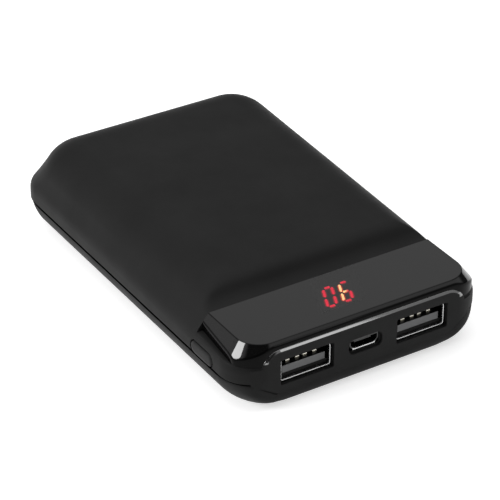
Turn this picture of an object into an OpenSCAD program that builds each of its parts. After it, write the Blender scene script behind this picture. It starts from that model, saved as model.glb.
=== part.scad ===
// Slim power bank with a glossy display window, two USB-A sockets,
// a micro-USB charging socket and a side button. Millimetres.
// X is the width, Y the length (sockets at -Y), Z up from the flat base.

/* [Body] */
// Overall width, side to side
body_width = 66.5; // [62:0.5:72]
// Overall length, socket face to rear
body_length = 103; // [98:0.5:114]
// Overall height, base to top of the rear
body_height = 23.4; // [22.4:0.2:26]
// Fall of the top face toward the window, in degrees
top_fall = 2; // [0:0.25:2.5]
// Plan radius of the four corners
corner_radius = 8; // [7:0.25:9.5]
// Height of the parting seam above the base
seam_height = 7.8; // [7.2:0.1:8.2]
// Wall thickness of both shells
wall = 1.8; // [1.4:0.1:2.1]
// Radius of the soft upper edges
pillow_radius = 10.5; // [9.5:0.25:11.5]

/* [Window] */
// Height of the window's flat top above the base
window_height = 17.4; // [16.8:0.1:18]
// Reach of the window back from the socket face
window_depth = 18.4; // [17.5:0.1:20]
// Distance from the sides to the window's flat top
window_side_crease = 3.75; // [3.4:0.05:4]
// Distance from the socket face to the window's flat top
window_front_crease = 1.2; // [1:0.05:1.4]
// Slope of the window's bevelled edge, in degrees
window_bevel = 52; // [48:1:56]
// Thickness of the window
window_wall = 1.4; // [1.2:0.1:1.6]

/* [Sockets] */
// Distance between the centres of the USB-A sockets
usb_pitch = 30.6; // [28.5:0.1:32]
// Height of the socket centres above the base
socket_height = 9.4; // [9.2:0.05:9.7]

/* [Button] */
// Length of the side button
button_length = 9; // [7:0.25:10.5]
// Width of the side button
button_width = 3.2; // [2.6:0.1:3.3]
// Distance of the button's centre behind the socket face
button_setback = 15.4; // [14.5:0.1:16.5]
// Inward travel of the button
button_travel = 0.4; // [0.25:0.05:0.45]

/* [Hidden] */
$fn = 96;
eps = 0.01;
hw = body_width/2;
hl = body_length/2;
front = -hl;
// lower tray edges
side_under = 8.8;
front_under = 3.6;
back_under = 6;
under_corner = corner_radius + 6;
under_reach = 4.2;
// band above the seam
bend_radius = 6;
bend_start = seam_height + 2.7;
band_top = seam_height + 6;
seam_gap = 0.35;
seam_depth = 0.6;
bib_low = seam_height - 3.9;
bib_half = hw - 10;
bib_flare = 6;
// soft upper body
pillow_in = 1.2;
pillow_ease = 1;
pillow_axis = pillow_in + pillow_radius;
pillow_z = body_height - pillow_radius;
pillow_y = hl - pillow_axis;
// window
win_back = front + window_depth;
win_in = 2.2;
win_edge = 0.35;
win_spread = 1.3;
crease_corner = 5.8;
cut_back = band_top - 0.4;
cut_front = cut_back - 1.1;
clear_from = 12;
cut_mid = cut_front + clear_from*(cut_back - cut_front)/window_depth;
panel_top = window_height - 1.9;
panel_half = hw - 6;
panel_round = 5;
panel_depth = 2;
// slope between the body and the window
slope_low = window_height - 0.15;
hollow_r = body_height - window_height;
hollow_a = 8;
hollow_b = 48;
hollow_y = win_back - hollow_r*sin(hollow_a);
brow_k = 1/(1 - cos(hollow_b));
brow_rise = 0.08;
brow_base = pillow_z + pillow_radius/cos(top_fall) + brow_rise
  - (pillow_y - hollow_y - hollow_r*sin(hollow_b))*tan(top_fall);
brow_r = brow_k*(brow_base - slope_low - hollow_r*(cos(hollow_a) - cos(hollow_b)))
  /(1 - brow_k*tan(top_fall)*sin(hollow_b));
// board
board_top = socket_height - 1.2;
board_thick = 1.2;
board_half = hw - 5;
board_y0 = front + 3.1;
board_y1 = front + 20.1;
front_screw = [hw - 7.8, front + 6];
rear_screw = [14, front + 17.9];
// USB-A socket
usb_w = 13.1;
usb_h = 5.7;
usb_t = 0.3;
usb_deep = 14;
usb_recess = 0.85;
usb_long = usb_deep - usb_recess;
usb_fit = 0.3;
// micro-USB socket
micro_w = 7.6;
micro_h = 2.6;
micro_t = 0.28;
micro_deep = 5.2;
micro_recess = 0.8;
micro_z = board_top + micro_h/2;
// button
button_y = front + button_setback;
button_z = board_top + 1.42;
button_proud = 0.15;
button_fit = 0.25;
flange = 0.75;
switch_x = -hw + 5.1;
// cells
pad_low = 0.6;
pad_mid = 0.5;
pad_high = 4;
cell_thick = (body_height - 2*wall - pad_low - pad_mid - pad_high)/2;
cell_width = body_width - 15.5;
cell_y0 = front + 24.6;
cell_y1 = hl - 7.6;
cell_z0 = wall + pad_low;
cell_z1 = cell_z0 + cell_thick + pad_mid;
guard_y = cell_y0 - 1.5;
// digits
digit_h = 6.9;
digit_w = 2.3;
digit_pitch = 4.3;
digit_bar = 0.72;
digit_gap = 0.26;
digit_lean = 0.445;
digits_x = 0.25;
digits_y = win_back - 6.6;
display_top = window_height - window_wall;

// ---------- shared shapes ----------
module plan(w, l, r) {
  square([w - 2*r, l], center = true);
  square([w, l - 2*r], center = true);
  for (x = [-1, 1], y = [-1, 1]) translate([x*(w/2 - r), y*(l/2 - r)]) circle(r);
}

// children: profile from its axis outward, x = radius, y = height
module swept(w, l, r, z0, z1) {
  for (k = [0, 1]) mirror([k, 0, 0]) translate([w/2 - r, l/2 - r, 0])
    rotate([90, 0, 0]) linear_extrude(l - 2*r) children();
  for (k = [0, 1]) mirror([0, k, 0]) translate([-w/2 + r, l/2 - r, 0])
    rotate([90, 0, 90]) linear_extrude(w - 2*r) children();
  for (i = [0, 1], j = [0, 1]) mirror([i, 0, 0]) mirror([0, j, 0])
    translate([w/2 - r, l/2 - r, 0]) rotate_extrude(angle = 90) children();
  translate([-w/2 + r, -l/2 + r, z0]) cube([w - 2*r, l - 2*r, z1 - z0]);
}

// extrude a shape drawn in (x, z) along Y, or in (y, z) along X
module along_y(y0, y1) {
  translate([0, y1, 0]) rotate([90, 0, 0]) linear_extrude(y1 - y0) children();
}
module along_x(x0, x1) {
  translate([x0, 0, 0]) rotate([90, 0, 90]) linear_extrude(x1 - x0) children();
}

// side band: upright, then bending inward at the top
module band_profile() {
  difference() {
    translate([0, 2]) square([corner_radius, band_top - 2]);
    difference() {
      translate([corner_radius - bend_radius, bend_start]) square([bend_radius + 1, band_top]);
      translate([corner_radius - bend_radius, bend_start]) circle(bend_radius);
    }
  }
}
module band() {
  swept(body_width, body_length, corner_radius, 2, band_top) band_profile();
}

// soft quarter-round body above the band, its corners eased in plan
module pillow(r) {
  c = pillow_ease;
  translate([0, pillow_y, pillow_z]) rotate([top_fall, 0, 0]) translate([0, -pillow_y, -pillow_z])
  swept(body_width - 2*(pillow_axis - r), body_length - 2*(pillow_axis - r), r + c,
      pillow_z - 2, pillow_z + r) {
    union() {
      intersection() {
        translate([c, pillow_z]) circle(r);
        translate([c, pillow_z]) square([r, r]);
      }
      translate([0, pillow_z - 2]) square([r + c, 2]);
      translate([0, pillow_z - 2]) square([c, r + 2]);
    }
  }
}

// everything above the slope and the window seat, drawn in (y, z)
module slope_cut(o) {
  c1 = [hollow_y, slope_low + hollow_r*cos(hollow_a)];
  r1 = hollow_r + o;
  r2 = brow_r - o;
  p0 = c1 + r1*[sin(hollow_a), -cos(hollow_a)];
  p1 = c1 + r1*[sin(hollow_b), -cos(hollow_b)];
  c2 = c1 + (hollow_r + brow_r)*[sin(hollow_b), -cos(hollow_b)];
  p2 = c2 + [0, r2];
  fall = (cut_back - cut_front)/window_depth;
  difference() {
    union() {
      polygon([p0, p1, p2, [p2[0], body_height + 5], [front - 5, body_height + 5],
        [front - 5, cut_front - o - 5*fall], [win_back + o, cut_back - o], [win_back + o, p0[1]]]);
      intersection() {
        translate(c1) circle(r1);
        polygon([c1, c1 + 2*r1*[sin(hollow_a), -cos(hollow_a)], c1 + 2*r1*[sin(hollow_b), -cos(hollow_b)]]);
      }
    }
    intersection() {
      translate(c2) circle(r2);
      polygon([c2, c2 + 2*r2*[-sin(hollow_b), cos(hollow_b)], c2 + 2*r2*[0, 1]]);
    }
  }
}

// front panel outline, drawn in (x, z)
module panel_shape(top, half) {
  r = panel_round;
  translate([-half, 0]) square([2*half, top - r]);
  translate([-half + r, 0]) square([2*half - 2*r, top]);
  for (x = [-1, 1]) translate([x*(half - r), top - r]) circle(r);
}

// lower part of the front that belongs to the upper shell, in (x, z)
module bib_shape(o) {
  polygon([[-bib_half + o, bib_low + o], [bib_half - o, bib_low + o],
    [bib_half + bib_flare - o, seam_height + o], [bib_half + bib_flare - o, seam_height + 4],
    [-bib_half - bib_flare + o, seam_height + 4], [-bib_half - bib_flare + o, seam_height + o]]);
}

// rounded slot lying along Y, drawn in (y, z)
module slot(len, r) {
  square([len - 2*r, 2*r], center = true);
  for (s = [-1, 1]) translate([s*(len/2 - r), 0]) circle(r);
}

// outside of the tray below the seam, or its inside at offset o
module tray(o) {
  r = side_under - o;
  intersection() {
    linear_extrude(seam_height + 2) plan(body_width - 2*o, body_length - 2*o, corner_radius - o);
    swept(body_width - 2*o, body_length + 2*under_reach - 2*o, under_corner - o, o, 14) {
      translate([0, side_under]) square([under_corner - o, 14 - side_under]);
      translate([0, o]) square([under_corner - o - r, side_under - o]);
      intersection() {
        translate([under_corner - o - r, side_under]) circle(r);
        translate([under_corner - o - r, o]) square(r);
      }
    }
    along_x(-hw - 1, hw + 1) {
      translate([front + o, front_under]) square([body_length - 2*o - 10, 20]);
      translate([front + 20, back_under]) square([body_length - 20 - o, 20]);
      translate([front + front_under, o]) square([body_length - front_under - back_under, 20]);
      translate([front + front_under, front_under]) circle(front_under - o);
      translate([hl - back_under, back_under]) circle(back_under - o);
    }
  }
}

// glossy block at the socket end, before it is divided
module window_block() {
  drop = 6.4;
  spread = drop/tan(window_bevel);
  r = crease_corner;
  intersection() {
    // bevelled all round below its flat top
    translate([0, front + window_front_crease + 25, 0])
      swept(body_width - 2*window_side_crease + 2*spread, 50 + 2*spread, r + spread,
          window_height - drop, window_height)
        polygon([[0, window_height - drop], [r + spread, window_height - drop], [r, window_height], [0, window_height]]);
    // upright walls that close in toward the rear
    linear_extrude(window_height + 1) intersection() {
      plan(body_width - 2*win_edge, body_length - 2*win_edge, corner_radius - win_edge);
      polygon([[-hw + win_in, win_back], [hw - win_in, win_back],
        [hw - win_in + win_spread, front - 1], [-hw + win_in - win_spread, front - 1]]);
    }
  }
}

// ---------- shells ----------
module upper_shell() {
  color([0.09, 0.09, 0.095]) difference() {
    union() {
      difference() {
        union() {
          difference() {
            union() { band(); pillow(pillow_radius); }
            along_x(-hw - 1, hw + 1) slope_cut(0);
          }
          // flat panel round the sockets
          intersection() {
            linear_extrude(panel_top + 1) plan(body_width, body_length, corner_radius);
            along_y(front - 1, front + panel_depth) panel_shape(panel_top, panel_half);
          }
        }
        // inside
        translate([0, 0, -1]) linear_extrude(band_top - 0.6)
          intersection() {
            plan(body_width - 2*wall, body_length - 2*wall, corner_radius - wall);
            translate([-hw, win_back + wall - 0.3]) square([body_width, body_length]);
          }
        translate([0, 0, -1]) linear_extrude(cut_front - 0.7)
          plan(body_width - 2*wall, body_length - 2*wall, corner_radius - wall);
        translate([0, 0, -1]) linear_extrude(cut_mid - wall + 1)
          intersection() {
            plan(body_width - 2*wall, body_length - 2*wall, corner_radius - wall);
            translate([-hw, front + clear_from]) square([body_width, window_depth - clear_from + wall]);
          }
        difference() {
          pillow(pillow_radius - wall);
          along_x(-hw - 1, hw + 1) slope_cut(wall);
          translate([-hw, front - 1, 0]) cube([body_width, window_depth + wall + 1, 40]);
        }
        // opening under the window
        translate([0, (front + panel_depth + win_back - 2)/2, 3])
          linear_extrude(20) plan(2*hw - 7.2, window_depth - panel_depth - 2, 5);
        // room behind the button
        translate([-hw + wall, button_y - button_length/2 - 2, 3])
          cube([4, button_length + 4, button_z + button_width/2 + 0.75 - 3]);
      }
      // rear seat of the window
      translate([-hw + 6, win_back - 2, display_top - 1.6]) cube([body_width - 12, 2.5, 1.6]);
    }
    // below the seam, sparing the panel
    difference() {
      translate([-hw - 1, -hl - 1, -1]) cube([body_width + 2, body_length + 2, seam_height + 1]);
      along_y(front - 2, front + wall) bib_shape(0);
    }
    // seam groove
    difference() {
      translate([-hw - 1, -hl - 1, seam_height - eps]) cube([body_width + 2, body_length + 2, seam_gap + eps]);
      translate([0, 0, seam_height - 1]) linear_extrude(3)
        plan(body_width - 2*seam_depth, body_length - 2*seam_depth, corner_radius - seam_depth);
      along_y(front - 2, front + 6) bib_shape(0);
    }
    difference() {
      along_y(front - 2, front + seam_depth) bib_shape(-eps);
      along_y(front - 3, front + seam_depth + 1) bib_shape(seam_gap);
    }
    // USB-A openings
    for (s = [-1, 1]) translate([s*usb_pitch/2 - usb_w/2 - usb_fit, front - 1, socket_height - usb_h/2 - usb_fit])
      cube([usb_w + 2*usb_fit, 5, usb_h + 2*usb_fit]);
    // micro-USB opening and its shallow recess
    translate([-micro_w/2 - 0.2, front - 1, micro_z - micro_h/2 - 0.2]) cube([micro_w + 0.4, 5, micro_h + 0.4]);
    along_y(front - 1, front + 0.9) translate([0, micro_z - 0.1]) {
      square([9.6 - 3.4, 4], center = true);
      for (s = [-1, 1]) translate([s*3.1, 0]) { square([3.4, 0.6], center = true); circle(1.7); }
      square([9, 2.6], center = true);
      for (x = [-1, 1], z = [-1, 1]) translate([x*3.1, z*0.3]) circle(1.7);
    }
    // button opening
    along_x(-hw - 1, -hw + wall + 1) translate([button_y, button_z])
      slot(button_length + 2*button_fit, button_width/2 + button_fit);
  }
}

module lower_shell() {
  color([0.11, 0.11, 0.115]) difference() {
    union() {
      difference() {
        tray(0);
        tray(wall);
        translate([-hw - 1, -hl - 1, seam_height]) cube([body_width + 2, body_length + 2, 10]);
      }
      // locating lip inside the upper shell
      difference() {
        translate([0, 0, seam_height - 2.5]) linear_extrude(4)
          plan(body_width - 2*wall, body_length - 2*wall, corner_radius - wall);
        translate([0, 0, seam_height - 4]) linear_extrude(8)
          plan(body_width - 2*wall - 2, body_length - 2*wall - 2, corner_radius - wall - 1);
        translate([-hw, front - 1, 0]) cube([body_width, wall + 3.5, 30]);
        translate([-hw, button_y - button_length/2 - 2.5, button_z - button_width/2 - 1.02])
          cube([5, button_length + 5, 10]);
      }
      // screw posts
      for (s = [-1, 1]) {
        translate([s*front_screw[0], front_screw[1], 1.4]) cylinder(r = 2.5, h = board_top - board_thick - 1.4);
        translate([s*rear_screw[0], rear_screw[1], 1]) cylinder(r = 2.5, h = board_top - board_thick - 1);
      }
    }
    along_y(front - 2, front + wall) bib_shape(0);
    // notch for the button where it reaches below the seam
    along_x(-hw - 1, -hw + wall + 0.2) translate([button_y, button_z])
      slot(button_length + 2*button_fit, button_width/2 + button_fit - 0.05);
    for (s = [-1, 1], p = [front_screw, rear_screw])
      translate([s*p[0], p[1], 2.6]) cylinder(r = 0.9, h = 10);
  }
}

module window_cap() {
  color([0.03, 0.03, 0.035]) difference() {
    intersection() {
      window_block();
      along_x(-hw - 1, hw + 1) slope_cut(0);
    }
    along_y(front - 2, front + panel_depth) panel_shape(panel_top, panel_half);
    translate([0, (front + window_wall + win_back + 5)/2, 0]) linear_extrude(display_top)
      plan(body_width - 2*win_in - 2*window_wall - 1.6, window_depth + 5 - window_wall, crease_corner);
  }
}

// ---------- button and switch ----------
module power_button() {
  face = -hw - button_proud;
  color([0.1, 0.1, 0.105]) translate([0, button_y, button_z]) {
    along_x(face, -hw + wall + flange) slot(button_length, button_width/2);
    difference() {
      along_x(-hw + wall, -hw + wall + flange) slot(button_length + 2.4, button_width/2 + 0.55);
      translate([-hw, -button_length, -5]) cube([10, 2*button_length, 5 + seam_height + 0.15 - button_z]);
    }
    translate([-hw + wall, 0, 0]) rotate([0, 90, 0]) cylinder(r = 0.9, h = switch_x - 0.7 + hw - wall);
  }
}

module switch_plunger() {
  color([0.16, 0.16, 0.16]) translate([switch_x - 0.7, button_y, button_z])
    rotate([0, 90, 0]) cylinder(r = 0.75, h = 1.5);
}

module switch_body() {
  color([0.72, 0.73, 0.75]) difference() {
    union() {
      translate([switch_x, button_y - 3, board_top]) cube([3.5, 6, 2.9]);
      for (s = [-1, 1]) translate([switch_x + 1, button_y + s*3.4 - 0.5, board_top]) cube([1.4, 1, 0.4]);
    }
    translate([switch_x - 1, button_y, button_z]) rotate([0, 90, 0]) cylinder(r = 0.8, h = 2.6);
  }
}

// ---------- board ----------
module main_board() {
  color([0.03, 0.2, 0.1]) difference() {
    translate([0, (board_y0 + board_y1)/2, board_top - board_thick]) linear_extrude(board_thick)
      plan(2*board_half, board_y1 - board_y0, 2.5);
    for (s = [-1, 1]) translate([s*usb_pitch/2 - usb_w/2 - 0.2, board_y0 - 1, 0])
      cube([usb_w + 0.4, usb_deep - 3.1 + 1.3, 20]);
    for (s = [-1, 1], p = [front_screw, rear_screw]) translate([s*p[0], p[1], 0]) cylinder(r = 1.2, h = 20);
  }
}

module board_screws() {
  color([0.6, 0.6, 0.62]) for (s = [-1, 1], p = [front_screw, rear_screw]) translate([s*p[0], p[1], 0])
    difference() {
      union() {
        translate([0, 0, 3.2]) cylinder(r = 0.88, h = board_top - 3.1);
        translate([0, 0, board_top]) cylinder(r = 1.9, h = 0.7);
        translate([0, 0, board_top + 0.7]) cylinder(r1 = 1.9, r2 = 1.4, h = 0.4);
      }
      for (a = [0, 90]) translate([0, 0, board_top + 0.9]) rotate([0, 0, a])
        cube([1.9, 0.4, 0.9], center = true);
    }
}

// ---------- USB-A sockets ----------
module usb_at(s) { translate([s*usb_pitch/2, front + usb_recess, socket_height]) children(); }

module usb_shell() {
  color([0.78, 0.79, 0.8]) {
    difference() {
      translate([-usb_w/2, 0, -usb_h/2]) cube([usb_w, usb_long, usb_h]);
      translate([-usb_w/2 + usb_t, -1, -usb_h/2 + usb_t]) cube([usb_w - 2*usb_t, usb_long + 1 - usb_t, usb_h - 2*usb_t]);
      // punched windows in the top face, behind the mouth
      for (s = [-1, 1]) translate([s*3.2 - 1, 4.5, usb_h/2 - 1]) cube([2, 4.2, 2]);
    }
    // mounting ears standing on the board
    for (s = [-1, 1]) translate([s*(usb_w/2 + 0.6) - 0.6, 8.2, board_top - socket_height]) cube([1.2, 3, 0.3]);
    // spring tongues pressed into the windows
    for (s = [-1, 1]) translate([s*3.2 - 0.7, 4.5, usb_h/2 - usb_t]) cube([1.4, 3.2, usb_t]);
  }
}

module usb_tongue() {
  color([0.86, 0.87, 0.88]) {
    translate([-5.55, 0.9, -1.46]) cube([11.1, usb_long - usb_t - 0.9, 1.82]);
    translate([-usb_w/2 + usb_t, 9.4, -usb_h/2 + usb_t]) cube([usb_w - 2*usb_t, usb_long - usb_t - 9.4, usb_h - 2*usb_t]);
  }
}

module usb_contacts() {
  color([0.83, 0.69, 0.35]) for (x = [-3.5, -1, 1, 3.5]) {
    translate([x - 0.5, 1.9, 0.36]) cube([1, 7.5, 0.16]);
    translate([x - 0.5, 2.2, 0.66]) rotate([0, 90, 0]) cylinder(r = 0.29, h = 1, $fn = 24);
  }
}

module usb_shell_left() { usb_at(-1) usb_shell(); }
module usb_shell_right() { usb_at(1) usb_shell(); }
module usb_tongue_left() { usb_at(-1) usb_tongue(); }
module usb_tongue_right() { usb_at(1) usb_tongue(); }
module usb_contacts_left() { usb_at(-1) usb_contacts(); }
module usb_contacts_right() { usb_at(1) usb_contacts(); }

// ---------- micro-USB socket ----------
module micro_outline(o) {
  w = micro_w/2 - o;
  h = micro_h/2 - o;
  polygon([[-w, h], [-w, -0.1*h], [-w + 1, -h], [w - 1, -h], [w, -0.1*h], [w, h]]);
}

module micro_usb_shell() {
  color([0.78, 0.79, 0.8]) translate([0, front + micro_recess, micro_z]) difference() {
    along_y(0, micro_deep) micro_outline(0);
    along_y(-1, micro_deep - micro_t) micro_outline(micro_t);
  }
}

module micro_usb_tongue() {
  color([0.07, 0.07, 0.07]) translate([0, front + micro_recess, micro_z]) {
    translate([-2.2, 0.6, 0.15]) cube([4.4, micro_deep - micro_t - 0.6, 0.5]);
    translate([-2.45, 3.3, -micro_h/2 + micro_t]) cube([4.9, micro_deep - micro_t - 3.3, micro_h - 2*micro_t]);
  }
}

module micro_usb_contacts() {
  color([0.83, 0.69, 0.35]) translate([0, front + micro_recess, micro_z])
    for (i = [-2:2]) translate([i*0.65 - 0.18, 0.9, 0.05]) cube([0.36, 2.4, 0.1]);
}

// ---------- display ----------
module display_body() {
  color([0.05, 0.05, 0.05]) difference() {
    translate([digits_x - 6, digits_y - 4.5, board_top]) cube([12, 9, display_top - 0.3 - board_top]);
    translate([digits_x - 4.6, digits_y - 5, board_top - 1]) cube([9.2, 10, 2]);
  }
}

// one bar between two points of a leaning digit
module bar(a, b) {
  d = (b - a)/norm(b - a);
  n = [-d[1], d[0]];
  t = digit_bar/2;
  s = digit_gap;
  polygon([a + s*d, a + (s + t)*d + t*n, b - (s + t)*d + t*n, b - s*d, b - (s + t)*d - t*n, a + (s + t)*d - t*n]);
}

function corner_of(i, j) = [(i - 0.5)*digit_w + (j - 1)*digit_h/2*digit_lean, (j - 1)*digit_h/2];

module digit(bars) {
  ends = [[[0, 2], [1, 2]], [[1, 2], [1, 1]], [[1, 1], [1, 0]], [[1, 0], [0, 0]],
    [[0, 0], [0, 1]], [[0, 1], [0, 2]], [[0, 1], [1, 1]]];
  for (k = bars) bar(corner_of(ends[k][0][0], ends[k][0][1]), corner_of(ends[k][1][0], ends[k][1][1]));
}

module display_segments() {
  color([1, 0.1, 0.2]) translate([digits_x, digits_y, display_top - 0.3]) linear_extrude(0.3) {
    translate([-digit_pitch/2, 0]) digit([0, 1, 2, 3, 4, 5]);
    translate([digit_pitch/2, 0]) digit([0, 2, 3, 4, 5, 6]);
  }
}

// ---------- cells ----------
module cell(z) {
  l = cell_y1 - cell_y0;
  color([0.7, 0.71, 0.73]) {
    translate([0, cell_y0 + l/2, z]) linear_extrude(cell_thick) plan(cell_width, l, 2.2);
    translate([-cell_width/2 + 1.5, cell_y0 - 0.5, z + cell_thick/2 - 0.5]) cube([cell_width - 3, 1, 1]);
  }
}
module cell_lower() { cell(cell_z0); }
module cell_upper() { cell(cell_z1); }

module cell_pads() {
  w = cell_width - 12;
  l = cell_y1 - cell_y0 - 14;
  y = cell_y0 + 9;
  color([0.15, 0.15, 0.16]) {
    translate([-w/2, y, wall]) cube([w, l, pad_low]);
    translate([-w/2, y, cell_z1 - pad_mid]) cube([w, l, pad_mid]);
    // wedge filling the falling space above the cells
    zt = pillow_z + (pillow_radius - wall)/cos(top_fall);
    along_x(-w/2, w/2) polygon([[y + 3, cell_z1 + cell_thick], [y + l - 3, cell_z1 + cell_thick],
      [y + l - 3, zt + (y + l - 3 - pillow_y)*tan(top_fall)], [y + 3, zt + (y + 3 - pillow_y)*tan(top_fall)]]);
  }
}

module cell_tabs() {
  color([0.75, 0.75, 0.72]) for (x = [-9, 9], z = [cell_z0, cell_z1])
    translate([x - 2, guard_y, z + cell_thick/2 - 0.15]) cube([4, 1, 0.3]);
}

module protection_board() {
  color([0.02, 0.16, 0.09]) {
    translate([-17, guard_y - 1, cell_z0 + cell_thick/2 - 1.5]) cube([34, 1, cell_thick + pad_mid + 3]);
    for (x = [-6, 0]) translate([x, guard_y - 1.8, cell_z0 + cell_thick]) cube([3.4, 0.9, 2.6]);
  }
}

// wire from the protection board down to the main board
module lead(x) {
  r = 1.3;
  z = board_top + 2;
  y1 = board_y1 - 1.1;
  translate([x, guard_y - 1, z]) rotate([90, 0, 0]) cylinder(r = 0.55, h = guard_y - 1 - y1 - r);
  translate([x, y1 + r, z - r]) rotate([90, 0, 90]) rotate([0, 0, 90]) rotate_extrude(angle = 90)
    translate([r, 0]) circle(0.55);
  translate([x, y1, board_top]) cylinder(r = 0.55, h = z - r - board_top);
  translate([x, y1, board_top]) cylinder(r1 = 1, r2 = 0.55, h = 0.5);
}
module lead_red() { color([0.75, 0.05, 0.04]) lead(7.4); }
module lead_black() { color([0.04, 0.04, 0.04]) lead(10); }

// ---------- parts on the board ----------
module power_inductor() {
  color([0.25, 0.25, 0.26]) translate([hw - 10.2, front + 17.2, board_top]) difference() {
    linear_extrude(2.8) plan(6, 5.4, 1);
    translate([0, 0, 2.4]) cylinder(r = 1.8, h = 1);
  }
}

module controller_chip() {
  color([0.08, 0.08, 0.08]) translate([-hw + 12.4, front + 17, board_top]) difference() {
    translate([-2, -2, 0]) cube([4, 4, 0.9]);
    translate([-1.4, 1.4, 0.75]) cylinder(r = 0.3, h = 1);
  }
}

module ceramic_capacitors() {
  color([0.62, 0.5, 0.38]) for (i = [0:4])
    translate([-8 + i*2.6, front + 18.6, board_top]) cube([1.3, 1.1, 0.9]);
}

upper_shell();
lower_shell();
window_cap();
power_button();
switch_body();
switch_plunger();
main_board();
board_screws();
usb_shell_left();
usb_tongue_left();
usb_contacts_left();
usb_shell_right();
usb_tongue_right();
usb_contacts_right();
micro_usb_shell();
micro_usb_tongue();
micro_usb_contacts();
display_body();
display_segments();
cell_lower();
cell_upper();
cell_pads();
cell_tabs();
protection_board();
lead_red();
lead_black();
power_inductor();
controller_chip();
ceramic_capacitors();
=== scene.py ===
import math
import bpy
import bmesh
from mathutils import Euler, Matrix, Vector


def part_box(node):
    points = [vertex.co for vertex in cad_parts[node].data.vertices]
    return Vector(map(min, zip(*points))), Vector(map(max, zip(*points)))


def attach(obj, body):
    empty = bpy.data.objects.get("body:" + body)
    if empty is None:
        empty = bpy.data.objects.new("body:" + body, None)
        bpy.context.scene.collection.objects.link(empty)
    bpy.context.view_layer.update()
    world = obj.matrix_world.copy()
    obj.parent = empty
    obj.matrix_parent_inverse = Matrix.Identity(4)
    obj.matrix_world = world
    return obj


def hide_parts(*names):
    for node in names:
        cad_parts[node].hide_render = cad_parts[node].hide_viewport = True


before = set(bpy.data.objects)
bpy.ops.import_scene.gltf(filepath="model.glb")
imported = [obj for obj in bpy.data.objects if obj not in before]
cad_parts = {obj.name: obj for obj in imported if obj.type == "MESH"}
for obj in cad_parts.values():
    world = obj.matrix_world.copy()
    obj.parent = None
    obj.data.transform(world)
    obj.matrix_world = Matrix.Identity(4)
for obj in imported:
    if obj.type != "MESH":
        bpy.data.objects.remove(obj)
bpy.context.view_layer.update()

# ---------- sizes of the case, in millimetres ----------
HALF_WIDTH = 33.25
HALF_LENGTH = 51.5
FRONT = -HALF_LENGTH
HEIGHT = 23.4
SEAM = 7.8
GROOVE = 0.35
WALL = 1.8
CORNER = 8.0
BEND_START = SEAM + 2.7
BEND_RADIUS = 6.0
PILLOW_RADIUS = 10.5
PILLOW_IN = 1.2
PILLOW_CENTRE = PILLOW_IN + PILLOW_RADIUS
PILLOW_Z = HEIGHT - PILLOW_RADIUS
PILLOW_Y = HALF_LENGTH - PILLOW_CENTRE
FALL = math.tan(math.radians(2.0))
WINDOW_TOP = 17.4
WINDOW_DEPTH = 18.4
WINDOW_BACK = FRONT + WINDOW_DEPTH
WINDOW_IN = 2.2
WINDOW_EDGE = 0.35
WINDOW_SPREAD = 1.3
WINDOW_WALL = 1.4
CREASE_X = HALF_WIDTH - 3.75
CREASE_FRONT = 1.2
CREASE_CORNER = 5.8
BEVEL_ANGLE = 52
BEVEL = math.tan(math.radians(BEVEL_ANGLE))
SEAT_BACK = 13.4
SEAT_FRONT = 12.3
SLOPE_LOW = WINDOW_TOP - 0.15
SLOPE_BLEND = 1.1
SEAT_BLEND = 0.5
HOLLOW_RADIUS = 6.0
HOLLOW_FROM = math.radians(8)
HOLLOW_TO = math.radians(48)
BROW_END = math.radians(7.5)
PANEL_TOP = 15.5
PANEL_HALF = HALF_WIDTH - 6
PANEL_ROUND = 5.0
PANEL_DEPTH = 2.0
BIB_LOW = 3.9
BIB_HALF = HALF_WIDTH - 10
BIB_FLARE = 6.0
SOCKET_Z = 9.4
SOCKET_X = 15.3
SOCKET_DEEP = 0.85
MICRO_DEEP = 0.8
MICRO_Z = 9.5
BUTTON_Y = FRONT + 15.4
BUTTON_Z = 9.62
BUTTON_LENGTH = 9.0
BUTTON_ROUND = 1.6
FLANGE_LENGTH = 11.4
FLANGE_ROUND = 2.15
SLOT_GAP = 0.25
STEM_RADIUS = 0.9
USB_WIDTH = 13.1
USB_HEIGHT = 5.7
USB_DEPTH = 14.0
USB_SHEET = 0.3
SPRING_X = 3.2
EAR_X = 7.15
MOUTH_HALF = (6.85, 3.15)
MICRO_HOLE_HALF = (4.0, 1.5)
POSTS = ((HALF_WIDTH - 7.8, FRONT + 6, 1.4), (14, FRONT + 17.9, 1.0))
POST_TOP = 7.0
PILOT_RADIUS = 0.9
UNDER_SIDE = 8.8
UNDER_FRONT = 3.6
UNDER_BACK = 6.0
DIGIT_HEIGHT = 6.9
DIGIT_WIDTH = 2.3
DIGIT_SHIFT = 2.15
DIGITS_X = 0.25
BAR_GAP = 0.44
LEAN = 0.445
FAR = 40

# ---------- metres, finishes and camera ----------
MM = 0.001
CASE_SHADE = 0.0135
CASE_SPECULAR = 0.1
WINDOW_SPECULAR = 0.66
STREAK_DEPTH = 0.000006
ALONG = (1, 0.06, 1)
FLOOR_HALF = 6.0
CAMERA_TURN = -31.8008
CAMERA_RISE = 31.6624
CAMERA_PLACE = Vector((-0.25061, -0.40703, 0.30145))


def clamp(v, lo, hi):
    return max(lo, min(hi, v))


def soft_min(a, b, k):
    h = clamp(0.5 + 0.5 * (b - a) / k, 0.0, 1.0)
    return b + (a - b) * h - k * h * (1 - h)


def ease(t):
    t = clamp(t, 0.0, 1.0)
    return t * t * (3 - 2 * t)


# ---------- meshes ----------
def add_object(name, data):
    obj = bpy.data.objects.new(name, data)
    bpy.context.scene.collection.objects.link(obj)
    return obj


def close_up(mesh, gap):
    """Merges points that lie this near each other and turns the faces outward."""
    bm = bmesh.new()
    bm.from_mesh(mesh)
    bmesh.ops.remove_doubles(bm, verts=bm.verts, dist=gap)
    bmesh.ops.recalc_face_normals(bm, faces=bm.faces)
    bm.to_mesh(mesh)
    bm.free()


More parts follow.
